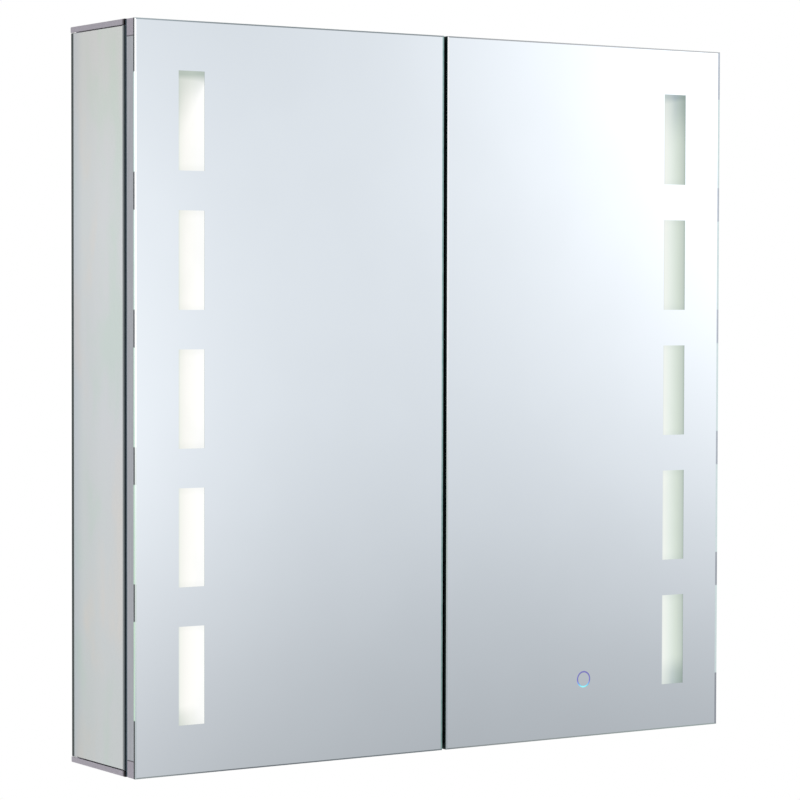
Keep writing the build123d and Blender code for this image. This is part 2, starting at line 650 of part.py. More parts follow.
with BuildPart() as hinge_stile:
    block((0, HINGE_STILE), (GLASS, DOOR_DEPTH), (-STILE_TOP, STILE_TOP))
    chamfer(hinge_stile.faces().sort_by(Axis.X)[0].edges(), EDGE_BREAK)
    hollow = (FRAME_WALL, HINGE_STILE - FRAME_WALL)
    rear_wall = (DOOR_DEPTH - FRAME_WALL, DOOR_DEPTH)
    block(hollow, (GLASS, rear_wall[0]), (-STILE_TOP, STILE_TOP), mode=Mode.SUBTRACT)
    for hinge in HINGE_HEIGHTS:
        block(CUP_INWARD, rear_wall, around(hinge, CUP_HALF_HEIGHT), mode=Mode.SUBTRACT)
    rod_back(LEAD_HOLE, STILE_GROMMET_INWARD, rear_wall, STILE_GROMMET_UP, mode=Mode.SUBTRACT)
save_pair(hinge_stile, "hinge_stile")

with BuildPart() as free_stile:
    stile_inward = (DOOR_WIDTH - FREE_STILE, DOOR_WIDTH)
    block(stile_inward, (GLASS, DOOR_DEPTH), (-STILE_TOP, STILE_TOP))
    chamfer(free_stile.faces().sort_by(Axis.X)[-1].edges(), EDGE_BREAK)
    hollow = (stile_inward[0] + FRAME_WALL, stile_inward[1] - FRAME_WALL)
    hollow_back = (GLASS + FRAME_WALL, DOOR_DEPTH - FRAME_WALL)
    block(hollow, hollow_back, (-STILE_TOP, STILE_TOP), mode=Mode.SUBTRACT)
save_pair(free_stile, "free_stile")

with BuildPart() as corner_keys:
    for sign in (-1, 1):
        for outer, way in ((FRAME_WALL, 1), (DOOR_WIDTH - FRAME_WALL, -1)):
            key_outer = sign * (DOOR_TOP - FRAME_WALL)
            level_up = sorted((key_outer, key_outer - sign * KEY_WIDTH))
            upright_up = sorted((key_outer, key_outer - sign * KEY_LEG))
            block(sorted((outer, outer + way * KEY_LEG)), KEY_BACK, level_up)
            block(sorted((outer, outer + way * KEY_WIDTH)), KEY_BACK, upright_up)
save_pair(corner_keys, "corner_keys")

with BuildPart() as inner_mirror:
    mirror_inward = (HINGE_STILE + MIRROR_PLAY, DOOR_WIDTH - FREE_STILE - MIRROR_PLAY)
    block(mirror_inward, (DOOR_DEPTH - GLASS, DOOR_DEPTH), around(0, STILE_TOP - MIRROR_PLAY))
    chamfer(inner_mirror.faces().sort_by(Axis.Y)[-1].edges(), GLASS_ARRIS)
save_pair(inner_mirror, "inner_mirror")

with BuildPart() as led_channel:
    block(LIGHT_BOX, LIGHT_BOX_BACK, (-LIGHT_BOX_TOP, LIGHT_BOX_TOP))
    hollow = (LIGHT_BOX[0] + LIGHT_BOX_WALL, LIGHT_BOX[1] - LIGHT_BOX_WALL)
    hollow_back = (LIGHT_BOX_BACK[0], LIGHT_BOX_BACK[1] - LIGHT_BOX_WALL)
    block(hollow, hollow_back, around(0, LIGHT_BOX_TOP - LIGHT_BOX_WALL), mode=Mode.SUBTRACT)
save_pair(led_channel, "led_channel")

with BuildPart() as diffuser:
    block(LIGHT_BOX, (GLASS, GLASS + DIFFUSER), (-LIGHT_BOX_TOP, LIGHT_BOX_TOP))
save_pair(diffuser, "diffuser")

with BuildPart() as led_strip:
    board_face = LIGHT_BOX[1] - LIGHT_BOX_WALL
    middle = sum(LIGHT_BOX_BACK) / 2 - LIGHT_BOX_WALL / 2
    board_up = around(0, LED_PITCH * LED_COUNT / 2)
    block((board_face - LED_BOARD, board_face), around(middle, LED_BOARD_WIDTH / 2), board_up)
    chip_face = board_face - LED_BOARD
    for i in range(LED_COUNT):
        up = (i - (LED_COUNT - 1) / 2) * LED_PITCH
        chip_back = around(middle, LED_SIZE / 2)
        block((chip_face - LED_HEIGHT, chip_face), chip_back, around(up, LED_SIZE / 2))
save_pair(led_strip, "led_strip")

with BuildPart() as hinge_cups:
    for hinge in HINGE_HEIGHTS:
        block(CUP_INWARD, CUP_BACK, around(hinge, CUP_HALF_HEIGHT))
    chamfer(hinge_cups.faces().filter_by(Axis.Y).sort_by(Axis.Y)[-2:].edges(), 0.5)
    pocket_inward = (CUP_INWARD[0], CUP_INWARD[1] - CUP_SIDE)
    pocket_back = (CUP_BACK[0] + CUP_FLOOR, CUP_BACK[1])
    for hinge in HINGE_HEIGHTS:
        block(pocket_inward, pocket_back, around(hinge, CUP_POCKET), mode=Mode.SUBTRACT)
        rod_up(PIVOT_PIN, *DOOR_PIVOT, around(hinge, CUP_PIN_HALF_LENGTH), mode=Mode.SUBTRACT)
save_pair(hinge_cups, "hinge_cups")

with BuildPart() as cup_pins:
    for hinge in HINGE_HEIGHTS:
        rod_up(PIVOT_PIN, *DOOR_PIVOT, around(hinge, CUP_PIN_HALF_LENGTH))
save_pair(cup_pins, "cup_pins")

with BuildPart() as bumpers:
    for sign in (-1, 1):
        foot = Plane(origin=at(BUMPER_INWARD, DOOR_DEPTH, sign * BUMPER_UP), z_dir=(0, 1, 0))
        with Locations(foot.location):
            Cone(*BUMPER_RADII, BUMPER_HEIGHT, align=(Align.CENTER, Align.CENTER, Align.MIN))
    fillet(bumpers.faces().filter_by(Axis.Y).sort_by(Axis.Y)[-2:].edges(), 0.8)
save_pair(bumpers, "bumpers")

with BuildPart() as stile_grommet:
    sleeve_back = (DOOR_DEPTH - 3.5, DOOR_DEPTH + 1.5)
    rod_back(LEAD_HOLE, STILE_GROMMET_INWARD, sleeve_back, STILE_GROMMET_UP)
    flange_back = (DOOR_DEPTH, sleeve_back[1])
    rod_back(LEAD_HOLE + 1.5, STILE_GROMMET_INWARD, flange_back, STILE_GROMMET_UP)
    bore = LEAD_HOLE - GROMMET_WALL
    rod_back(bore, STILE_GROMMET_INWARD, sleeve_back, STILE_GROMMET_UP, mode=Mode.SUBTRACT)
save_pair(stile_grommet, "stile_grommet")

with BuildPart() as touch_ring:
    with BuildSketch(front_plane(TOUCH_X, FRONT + GLASS, TOUCH_Z)) as ring:
        Circle(TOUCH_RADIUS)
        Circle(TOUCH_BORE, mode=Mode.SUBTRACT)
    extrude(ring.sketch, amount=-TOUCH_GUIDE)
save(touch_ring, "touch_ring")

with BuildPart() as touch_board:
    board_inward = around(HALF + TOUCH_X, TOUCH_BOARD / 2)
    board_back = (GLASS + TOUCH_GUIDE, GLASS + TOUCH_GUIDE + TOUCH_BOARD_SHEET)
    block(board_inward, board_back, around(TOUCH_Z, TOUCH_BOARD / 2))
    # Sensing pad inside the ring, pressed against the glass
    rod_back(TOUCH_PAD, HALF + TOUCH_X, (GLASS, board_back[0]), TOUCH_Z)
    # Plug of the board's lead
    plug_inward = (board_inward[0] + 4.0, board_inward[0] + 4.0 + TOUCH_PLUG)
    block(plug_inward, (board_back[1], board_back[1] + 3.0), around(TOUCH_Z, TOUCH_PLUG / 2))
save(touch_board, "touch_board")
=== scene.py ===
# Looks of a medicine cabinet with two lit mirror doors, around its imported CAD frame.
# Everything is in metres: +X right, +Y into the wall, +Z up, origin at the centre of the wall face.

import math

import bmesh
import bpy
from mathutils import Matrix, Vector


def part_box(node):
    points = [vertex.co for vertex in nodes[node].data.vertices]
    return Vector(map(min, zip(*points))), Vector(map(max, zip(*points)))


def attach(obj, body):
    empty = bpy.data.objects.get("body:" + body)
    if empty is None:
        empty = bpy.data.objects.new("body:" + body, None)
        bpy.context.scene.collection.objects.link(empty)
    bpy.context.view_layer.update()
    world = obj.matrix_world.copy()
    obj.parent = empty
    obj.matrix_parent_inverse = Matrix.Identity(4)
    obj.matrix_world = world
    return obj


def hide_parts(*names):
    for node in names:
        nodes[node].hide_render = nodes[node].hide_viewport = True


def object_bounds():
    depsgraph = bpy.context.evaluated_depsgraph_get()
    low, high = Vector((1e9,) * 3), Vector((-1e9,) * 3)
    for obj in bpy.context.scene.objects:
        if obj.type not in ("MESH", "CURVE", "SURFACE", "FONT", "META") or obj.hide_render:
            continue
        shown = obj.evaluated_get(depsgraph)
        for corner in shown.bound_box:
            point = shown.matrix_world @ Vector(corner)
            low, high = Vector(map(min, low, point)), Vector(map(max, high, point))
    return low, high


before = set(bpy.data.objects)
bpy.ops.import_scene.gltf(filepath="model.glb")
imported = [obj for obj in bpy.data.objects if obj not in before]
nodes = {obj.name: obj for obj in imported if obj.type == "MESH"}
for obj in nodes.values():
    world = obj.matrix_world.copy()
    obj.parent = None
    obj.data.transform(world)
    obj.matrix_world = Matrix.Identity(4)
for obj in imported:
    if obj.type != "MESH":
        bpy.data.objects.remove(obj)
scene = bpy.context.scene
cad_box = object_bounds()

# ---------------------------------------------------------------- sizes taken from the frame

GLASS_LOW, GLASS_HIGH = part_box("left_door_glass")
GLASS_FRONT = GLASS_LOW.y
GLASS_BACK = GLASS_HIGH.y
DOOR_TOP = GLASS_HIGH.z
DOOR_OUTER = -GLASS_LOW.x
DOOR_INNER = -GLASS_HIGH.x
CARCASS_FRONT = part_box("top_panel")[0].y
RAIL_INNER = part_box("left_top_rail")[0].z
RING_LOW, RING_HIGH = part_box("touch_ring")
RING_CENTRE = (RING_LOW + RING_HIGH) / 2
RING_OUTER = (RING_HIGH.x - RING_LOW.x) / 2

SIDES = ("left", "right")

# Etched windows and ring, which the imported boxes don't give
WINDOW_WIDTH = 0.0254
WINDOW_HEIGHT = 0.0854
WINDOW_INSET = 0.0422
WINDOW_PITCH = 0.1194
WINDOW_ROWS = (-2, -1, 0, 1, 2)
RING_INNER = 0.00635
ETCH = 0.00035
LED_PITCH = 0.020

# Arris round the front of the door glass, wider on each door's right-hand edge
ARRIS_WIDTH = 0.0013
RIGHT_ARRIS_WIDTH = {"left": 0.0020, "right": 0.0028}
ARRIS_DEPTH = 0.0007

# Light that leaks out at the glass edge: how far its middle row is raised, and its pitch
GLOW_RISE = 0.0022
GLOW_PITCH = 0.1171

# ---------------------------------------------------------------- node graphs


def srgb(red, green, blue):
    """Linear colour from 0-255 display values."""
    def linear(value):
        share = value / 255
        return share / 12.92 if share <= 0.04045 else ((share + 0.055) / 1.055) ** 2.4
    return (linear(red), linear(green), linear(blue), 1.0)


class Graph:
    """Short names for the shader nodes used here. A value is a number, a colour or a socket."""

    def __init__(self, tree):
        self.tree = tree

    def add(self, kind, inputs, **settings):
        made = self.tree.nodes.new(kind)
        for name, value in settings.items():
            setattr(made, name, value)
        for key, value in inputs.items():
            if isinstance(value, bpy.types.NodeSocket):
                self.tree.links.new(value, made.inputs[key])
            else:
                made.inputs[key].default_value = value
        return made

    def math(self, operation, *values, clamp=False):
        made = self.add("ShaderNodeMath", dict(enumerate(values)), operation=operation, use_clamp=clamp)
        return made.outputs[0]

    def place(self):
        """Point in the object's own space, which is the cabinet's frame at rest."""
        return self.add("ShaderNodeTexCoord", {}).outputs["Object"]

    def split(self, vector):
        return self.add("ShaderNodeSeparateXYZ", {0: vector}).outputs

    def stretch(self, scale=(1, 1, 1)):
        return self.add("ShaderNodeMapping", {"Vector": self.place(), "Scale": scale}).outputs[0]

    def noise(self, scale, stretch=(1, 1, 1), detail=3.0):
        inputs = {"Vector": self.stretch(stretch), "Scale": scale, "Detail": detail}
        return self.add("ShaderNodeTexNoise", inputs).outputs["Fac"]

    def cells(self, scale):
        inputs = {"Vector": self.stretch(), "Scale": scale}
        return self.add("ShaderNodeTexVoronoi", inputs).outputs["Distance"]

    def span(self, value, start, end, low=0.0, high=1.0, smooth=True):
        """Low at start, high at end."""
        inputs = {"Value": value, "From Min": start, "From Max": end, "To Min": low, "To Max": high}
        kind = "SMOOTHSTEP" if smooth else "LINEAR"
        return self.add("ShaderNodeMapRange", inputs, interpolation_type=kind).outputs[0]

    def ramp(self, value, stops, smooth=True):
        made = self.add("ShaderNodeValToRGB", {"Fac": value})
        made.color_ramp.interpolation = "EASE" if smooth else "LINEAR"
        while len(made.color_ramp.elements) < len(stops):
            made.color_ramp.elements.new(1.0)
        for element, (place, colour) in zip(made.color_ramp.elements, stops):
            element.position = place
            element.color = colour
        return made.outputs["Color"]

    def mix(self, factor, first, second):
        made = self.add("ShaderNodeMix", {0: factor, 6: first, 7: second}, data_type="RGBA")
        return made.outputs[2]

    def multiply_colours(self, first, second):
        inputs = {0: 1.0, 6: first, 7: second}
        return self.add("ShaderNodeMix", inputs, data_type="RGBA", blend_type="MULTIPLY").outputs[2]

    def bump(self, height, distance):
        return self.add("ShaderNodeBump", {"Height": height, "Distance": distance}).outputs[0]

    def off_row(self, value, pitch):
        """Distance from the nearest of a row of points at this pitch, one of which is 0."""
        return self.math("ABSOLUTE", self.math("WRAP", value, pitch / 2, -pitch / 2))

    def upright(self):
        """0 on a face that stands upright, 1 on one that looks straight up or down."""
        normal = self.add("ShaderNodeNewGeometry", {}).outputs["True Normal"]
        return self.math("ABSOLUTE", self.split(normal)["Z"])


def surface(name, **sockets):
    """New material and its graph. Sockets are those of the Principled shader, as plain values."""
    material = bpy.data.materials.new(name)
    material.use_nodes = True
    shader = material.node_tree.nodes["Principled BSDF"]
    for key, value in sockets.items():
        shader.inputs[key.replace("_", " ")].default_value = value
    return material, Graph(material.node_tree), shader


def connect(graph, shader, **sockets):
    for key, value in sockets.items():
        graph.tree.links.new(value, shader.inputs[key.replace("_", " ")])


def paint_over(material):
    """Graph and shader of a finished material, and the colour it has so far."""
    shader = material.node_tree.nodes["Principled BSDF"]
    return Graph(material.node_tree), shader, shader.inputs["Base Color"].links[0].from_socket


def scaled(colour, factor, lift=0.0):
    """A darker or lighter colour."""
    return tuple(min(1.0, channel * factor + lift) for channel in colour[:3]) + (1.0,)


# ---------------------------------------------------------------- camera, light and floor

CAMERA_PLACE = Vector((-1.5240, -2.3853, 0.0864))
CAMERA_HEADING = math.radians(33.067)
CAMERA_TILT = math.radians(-1.923)
CAMERA_ROLL = math.radians(0.132)
CAMERA_LENS = 135.3
SENSOR_WIDTH = 36.0

FLOOR_DROP = 0.9
FLOOR_RADIUS = 3.0
FLOOR_FADE = (FLOOR_RADIUS * 0.45, FLOOR_RADIUS * 0.98)


def make_camera():
    data = bpy.data.cameras.new("camera")
    data.sensor_width = SENSOR_WIDTH
    data.lens = CAMERA_LENS
    camera = bpy.data.objects.new("camera", data)
    scene.collection.objects.link(camera)
    flat = Vector((math.sin(CAMERA_HEADING), math.cos(CAMERA_HEADING), 0))
    forward = flat * math.cos(CAMERA_TILT) + Vector((0, 0, math.sin(CAMERA_TILT)))
    level = Vector((flat.y, -flat.x, 0))
    up = level.cross(forward)
    right = level * math.cos(CAMERA_ROLL) + up * math.sin(CAMERA_ROLL)
    up = right.cross(forward)
    turn = Matrix((right, up, -forward)).transposed().to_4x4()
    camera.matrix_world = Matrix.Translation(CAMERA_PLACE) @ turn
    scene.camera = camera


# Soft boxes that glossy surfaces see: azimuth, elevation, azimuth spread and elevation spread in degrees,
# and strength. Two stand in front of the cabinet, to the right of its axis, and a tall one to its left.
SOFT_BOXES = (
    (134.5, 6.0, 9.2, 9.1, 1.21),
    (161.0, -2.0, 9.3, 9.3, 0.80),
    (-150.0, 0.0, 8.0, 40.0, 0.70),
)
SOFT_BOX_WARMTH = (1.07, 1.0, 0.95)

# Brightness of the room in front, low and high, with the elevations between which it changes, and of the
# room behind, with the range of y. Fill comes from overhead, by height, and from underfoot, by elevation.
STUDIO_LOW = 0.387
STUDIO_HIGH = 0.567
STUDIO_EDGE = (-10.3, -1.5)
STUDIO_REAR = 0.73
REAR_BLEND = (-0.2, 0.5)
STUDIO_FILL = 0.35
FILL_ABOVE = (0.25, 0.8)
FILL_BELOW = (-11.0, -22.0)

# The room's brightness is as the doors show it, so it is divided by their green
DOOR_SILVER = (0.825, 0.90, 0.975, 1)


def studio_seen(graph):
    """Brightness of the studio by direction, as the mirrors see it."""
    direction = graph.add("ShaderNodeTexCoord", {}).outputs["Generated"]
    x, y, z = graph.split(direction)
    azimuth = graph.math("DEGREES", graph.math("ARCTAN2", x, y))
    elevation = graph.math("DEGREES", graph.math("ARCSINE", z))
    room = graph.span(elevation, *STUDIO_EDGE, STUDIO_LOW, STUDIO_HIGH)
    above = graph.span(z, *FILL_ABOVE, 0.0, STUDIO_FILL)
    below = graph.span(elevation, *FILL_BELOW, 0.0, STUDIO_FILL)
    fill = graph.math("ADD", above, below)
    glows = 0.0
    for box_azimuth, box_elevation, wide, high, strength in SOFT_BOXES:
        across = graph.math("DIVIDE", graph.math("SUBTRACT", azimuth, box_azimuth), wide)
        along = graph.math("DIVIDE", graph.math("SUBTRACT", elevation, box_elevation), high)
        across = graph.math("MULTIPLY", across, across)
        square = graph.math("ADD", across, graph.math("MULTIPLY", along, along))
        falloff = graph.math("EXPONENT", graph.math("MULTIPLY", square, -1.0))
        glows = graph.math("ADD", glows, graph.math("MULTIPLY", falloff, strength))
    channels = []
    for warmth in SOFT_BOX_WARMTH:
        lit = graph.math("ADD", room, graph.math("MULTIPLY", glows, warmth))
        channels.append(graph.math("ADD", graph.math("DIVIDE", lit, DOOR_SILVER[1]), fill))
    front = graph.add("ShaderNodeCombineXYZ", dict(enumerate(channels))).outputs[0]
    rear = graph.span(y, *REAR_BLEND)
    return graph.mix(rear, front, (STUDIO_REAR,) * 3 + (1.0,))


def make_world():
    world = bpy.data.worlds.new("studio")
    scene.world = world
    world.use_nodes = True
    graph = Graph(world.node_tree)
    path = graph.add("ShaderNodeLightPath", {}).outputs
    height = graph.split(graph.add("ShaderNodeTexCoord", {}).outputs["Generated"])["Z"]
    sky = ((0.0, (0.72, 0.73, 0.75, 1)), (1.0, (1.12, 1.12, 1.1, 1)))
    soft = graph.ramp(graph.span(height, -1.0, 1.0), sky)
    lit = graph.mix(path["Is Glossy Ray"], soft, studio_seen(graph))
    seen = graph.mix(path["Is Camera Ray"], lit, (1, 1, 1, 1))
    background = world.node_tree.nodes["Background"]
    graph.tree.links.new(seen, background.inputs["Color"])


def make_floor():
    """Pale disc well below the cabinet. It fades out at its rim, so it shows no edge."""
    mesh = bpy.data.meshes.new("floor")
    shape = bmesh.new()
    bmesh.ops.create_circle(shape, cap_ends=True, segments=96, radius=FLOOR_RADIUS)
    shape.to_mesh(mesh)
    shape.free()
    floor = bpy.data.objects.new("floor", mesh)
    floor.location.z = cad_box[0].z - FLOOR_DROP
    scene.collection.objects.link(floor)
    material, graph, shader = surface("floor", Roughness=0.7)
    grain = graph.noise(9.0, detail=4.0)
    pale = graph.ramp(grain, ((0.3, (0.84, 0.84, 0.85, 1)), (0.7, (0.87, 0.87, 0.87, 1))))
    connect(graph, shader, Base_Color=pale)
    distance = graph.add("ShaderNodeVectorMath", {0: graph.place()}, operation="LENGTH").outputs["Value"]
    connect(graph, shader, Alpha=graph.span(distance, *FLOOR_FADE, 1.0, 0.0))
    mesh.materials.append(material)


# ---------------------------------------------------------------- materials


MOTTLE = 0.012


def silver(name, colour, roughness):
    """Back-silvered float glass, with the faint unevenness of its coating."""
    material, graph, shader = surface(name, Metallic=1.0)
    patch = graph.noise(11.0, detail=2.0)
    stops = ((0.35, scaled(colour, 1 - MOTTLE)), (0.65, colour))
    connect(graph, shader, Base_Color=graph.ramp(patch, stops))
    gloss = graph.span(graph.noise(60.0), 0.3, 0.7, roughness * 0.6, roughness * 1.4)
    connect(graph, shader, Roughness=gloss)
    connect(graph, shader, Normal=graph.bump(graph.noise(4.0, detail=1.0), 0.00002))
    return material


# Colour of the side mirror: its patches, and the painted shade and painted reflection that multiply them
# from front to wall and bottom to top
SIDE_PATCHES = ((0.3, srgb(226, 237, 232)), (0.5, srgb(233, 236, 238)), (0.7, srgb(240, 236, 233)))
SIDE_SHADE_TO_WALL = ((0.35, (1, 1, 1, 1)), (0.75, (0.95, 0.96, 0.95, 1)), (1.0, (0.80, 0.84, 0.88, 1)))
SIDE_REFLECTION_TO_TOP = (
    (0.0, (0.92, 0.94, 0.93, 1)),
    (0.3, (0.98, 1.0, 1.0, 1)),
    (0.5, (1.02, 1.03, 1.045, 1)),
    (0.75, (1.06, 1.07, 1.07, 1)),
    (1.0, (1.0, 0.98, 0.95, 1)),
)


def side_silver():
    """Side mirror: a softer silver with pale colour patches, painted shade towards the wall and a painted
    reflection that changes from bottom to top.
    """
    material, graph, shader = surface("side_silver", Metallic=1.0)
    patches = graph.ramp(graph.noise(9.0, (1, 2.2, 1)), SIDE_PATCHES)
    _, y, z = graph.split(graph.place())
    # Painted shade darkens the mirror towards the wall, and a painted reflection changes it from bottom to
    # top
    shade_to_wall = graph.ramp(graph.span(y, -0.1, 0.0, smooth=False), SIDE_SHADE_TO_WALL)
    reflection_to_top = graph.ramp(graph.span(z, -DOOR_TOP, DOOR_TOP, smooth=False), SIDE_REFLECTION_TO_TOP)
    patches_with_painted_light = graph.multiply_colours(graph.multiply_colours(patches, shade_to_wall), reflection_to_top)
    connect(graph, shader, Base_Color=patches_with_painted_light)
    connect(graph, shader, Roughness=graph.span(graph.noise(40.0, (1, 3, 1)), 0.3, 0.7, 0.10, 0.18))
    connect(graph, shader, Normal=graph.bump(graph.noise(3.0, detail=1.0), 0.0001))
    return material


def anodised(name, colour, along):
    """Satin anodised aluminium with the drawing lines of its extrusion along one axis."""
    material, graph, shader = surface(name, Metallic=1.0)
    stretch = tuple(0.02 if axis == along else 1.0 for axis in "XYZ")
    lines = graph.noise(900.0, stretch, detail=2.0)
    cloud = graph.noise(14.0)
    stops = ((0.35, scaled(colour, 0.9)), (0.65, colour))
    connect(graph, shader, Base_Color=graph.ramp(lines, stops))
    connect(graph, shader, Roughness=graph.span(cloud, 0.3, 0.7, 0.30, 0.40))
    connect(graph, shader, Normal=graph.bump(lines, 0.00004))
    return material


# Painted shade: how far it reaches from the carcass's front to the rear, how far it takes to fade there,
# how far in from the side it reaches on the side walls, and how far in from the gap between the doors
FRONT_SHADE = 0.0042
FRONT_FADE = 0.0038
LIP_SHADE = 0.0034
GAP_SHADE = 0.0016
GAP_COLOUR = (0.035, 0.06, 0.055, 1)
# Line between rail and stile: where it starts and ends, from the rail's inner edge, and how much it covers
JOINT_LINE = (0.0004, 0.0009)
JOINT_SHARE = 0.75
JOINT_COLOUR = (0.08, 0.075, 0.085, 1)


def paint_front_shade(material, stops, outer_only=False):
    """Painted shade on the carcass's front edge, in the gap behind the doors, fading out towards the rear.
    """
    graph, shader, old = paint_over(material)
    x, y, _ = graph.split(graph.place())
    mask = graph.math("LESS_THAN", y, CARCASS_FRONT + FRONT_SHADE)
    if outer_only:
        outer = graph.math("GREATER_THAN", graph.math("ABSOLUTE", x), DOOR_OUTER - LIP_SHADE)
        mask = graph.math("MULTIPLY", mask, outer)
    # Painted shade: darkest at the front edge, fading towards the rear
    depth = graph.span(y, CARCASS_FRONT, CARCASS_FRONT + FRONT_FADE, smooth=False)
    connect(graph, shader, Base_Color=graph.mix(mask, old, graph.ramp(depth, stops, smooth=False)))
    return material


def darken_gap(material):
    """Shade the faces that meet across the gap between the doors."""
    graph, shader, old = paint_over(material)
    x = graph.split(graph.place())["X"]
    mask = graph.math("LESS_THAN", graph.math("ABSOLUTE", x), DOOR_INNER + GAP_SHADE)
    connect(graph, shader, Base_Color=graph.mix(mask, old, GAP_COLOUR))
    return material


def line_joint(material):
    """Dark line on the rails where they meet the stiles."""
    graph, shader, old = paint_over(material)
    z = graph.split(graph.place())["Z"]
    start, end = (RAIL_INNER + reach for reach in JOINT_LINE)
    mask = graph.span(graph.math("ABSOLUTE", z), start, end, JOINT_SHARE, 0.0)
    connect(graph, shader, Base_Color=graph.mix(mask, old, JOINT_COLOUR))
    return material


def plated(name, colour, roughness, scale=260.0):
    """Zinc, nickel or chrome plate: fine grain and faint clouds in its gloss."""
    material, graph, shader = surface(name, Metallic=1.0)
    grain = graph.noise(scale, detail=4.0)
    stops = ((0.35, scaled(colour, 0.86)), (0.65, colour))
    connect(graph, shader, Base_Color=graph.ramp(grain, stops))
    gloss = graph.span(graph.noise(50.0), 0.3, 0.7, roughness * 0.75, roughness * 1.25)
    connect(graph, shader, Roughness=gloss)
    connect(graph, shader, Normal=graph.bump(grain, 0.00003))
    return material


def powder_coat(name, colour, roughness):
    """Powder-coated sheet with its orange-peel texture."""
    material, graph, shader = surface(name, Specular_IOR_Level=0.4)
    peel = graph.cells(700.0)
    cloud = graph.noise(18.0)
    connect(graph, shader, Base_Color=graph.ramp(cloud, ((0.3, colour), (0.7, scaled(colour, 1.12)))))
    connect(graph, shader, Roughness=graph.span(cloud, 0.3, 0.7, roughness - 0.06, roughness + 0.06))
    connect(graph, shader, Normal=graph.bump(peel, 0.00006))
    return material


def moulded(name, colour, roughness=0.5, scale=1500.0):
    """Moulded plastic or rubber with a fine spark-eroded grain."""
    material, graph, shader = surface(name)
    grain = graph.noise(scale, detail=2.0)
    cloud = graph.noise(35.0)
    stops = ((0.3, colour), (0.7, scaled(colour, 1.1, lift=0.004)))
    connect(graph, shader, Base_Color=graph.ramp(cloud, stops))
    connect(graph, shader, Roughness=graph.span(grain, 0.3, 0.7, roughness - 0.08, roughness + 0.08))
    connect(graph, shader, Normal=graph.bump(grain, 0.00005))
    return material


def shelf_glass():
    """Clear float glass whose polished edges show its green."""
    material, graph, shader = surface("shelf_glass", Transmission_Weight=1.0, IOR=1.5)
    face = graph.span(graph.upright(), 0.3, 0.9)
    waves = graph.noise(120.0, (1, 1, 0.2))
    edge = graph.ramp(waves, ((0.3, srgb(96, 170, 150)), (0.7, srgb(130, 200, 178))))
    connect(graph, shader, Base_Color=graph.mix(face, edge, srgb(246, 252, 250)))
    connect(graph, shader, Roughness=graph.span(face, 0.0, 1.0, 0.12, 0.0))
    connect(graph, shader, Transmission_Weight=graph.span(face, 0.0, 1.0, 0.45, 1.0))
    return material


def circuit_board():
    """Green solder mask over copper tracks."""
    material, graph, shader = surface("circuit_board", Coat_Weight=0.4)
    inputs = {"Vector": graph.stretch(), "Scale": 260.0, "Mortar Size": 0.12}
    tracks = graph.add("ShaderNodeTexBrick", inputs).outputs["Fac"]
    connect(graph, shader, Base_Color=graph.mix(tracks, srgb(22, 92, 54), srgb(70, 140, 84)))
    connect(graph, shader, Roughness=graph.span(graph.noise(80.0), 0.3, 0.7, 0.25, 0.4))
    connect(graph, shader, Normal=graph.bump(tracks, 0.00003))
    return material


def led_board():
    """White flexible board with a glowing chip at every pitch."""
    material, graph, shader = surface("led_board", Emission_Strength=4.0)
    z = graph.split(graph.place())["Z"]
    chip = graph.span(graph.off_row(z, LED_PITCH), 0.0010, 0.0015, 1.0, 0.0)
    connect(graph, shader, Base_Color=graph.mix(chip, srgb(238, 238, 232), srgb(255, 238, 170)))
    connect(graph, shader, Emission_Color=graph.mix(chip, (0, 0, 0, 1), srgb(255, 250, 235)))
    connect(graph, shader, Roughness=graph.span(graph.noise(200.0), 0.3, 0.7, 0.35, 0.5))
    return material


def opal(name):
    """Opal sheet, lit from behind: a soft glow with faint clouds."""
    material, graph, shader = surface(name, Emission_Strength=0.7)
    cloud = graph.noise(30.0)
    light = graph.ramp(cloud, ((0.3, srgb(244, 250, 240)), (0.7, srgb(255, 255, 252))))
    sheet = graph.ramp(cloud, ((0.3, srgb(238, 242, 236)), (0.7, srgb(246, 248, 244))))
    connect(graph, shader, Emission_Color=light, Base_Color=sheet)
    connect(graph, shader, Roughness=graph.span(graph.noise(300.0), 0.3, 0.7, 0.45, 0.6))
    return material


# ---------------------------------------------------------------- door glass materials


# Soft edge of the light in the height of a window, and depth of the glass's outer face
GLOW_EDGE = 0.0012
OUTER_SKIN = 0.0004


def window_row(graph, z):
    """1 at the height of a lit window, 0 between them."""
    end = WINDOW_HEIGHT / 2
    inside = graph.span(graph.off_row(z, WINDOW_PITCH), end, end + GLOW_EDGE, 1.0, 0.0)
    within = graph.math("LESS_THAN", graph.math("ABSOLUTE", z), WINDOW_PITCH * len(WINDOW_ROWS) / 2)
    return graph.math("MULTIPLY", inside, within)


def glow_row(graph, z):
    """As window_row, for light that leaks out at the glass edge, in rows a little closer together."""
    lowered = graph.math("SUBTRACT", z, GLOW_RISE)
    return window_row(graph, graph.math("MULTIPLY", lowered, WINDOW_PITCH / GLOW_PITCH))


def glass_edge():
    """Polished edge of the door glass: dark green, but light leaks out beside each window."""
    material, graph, shader = surface("glass_edge", Emission_Strength=1.0, Roughness=0.12)
    x, _, z = graph.split(graph.place())
    outer = graph.math("GREATER_THAN", graph.math("ABSOLUTE", x), DOOR_OUTER - OUTER_SKIN)
    lit = graph.math("MULTIPLY", outer, glow_row(graph, z))
    ripple = graph.noise(160.0, (1, 1, 0.3))
    dark = graph.ramp(ripple, ((0.3, (0.004, 0.012, 0.012, 1)), (0.7, (0.010, 0.024, 0.023, 1))))
    rise = graph.span(z, -0.2, 0.3)
    glow = graph.mix(rise, srgb(184, 214, 190), srgb(188, 206, 204))
    glow = graph.mix(graph.span(ripple, 0.3, 0.7, 0.0, 0.12), glow, (0.2, 0.3, 0.28, 1))
    connect(graph, shader, Base_Color=dark)
    connect(graph, shader, Emission_Color=graph.mix(lit, (0, 0, 0, 1), glow))
    return material
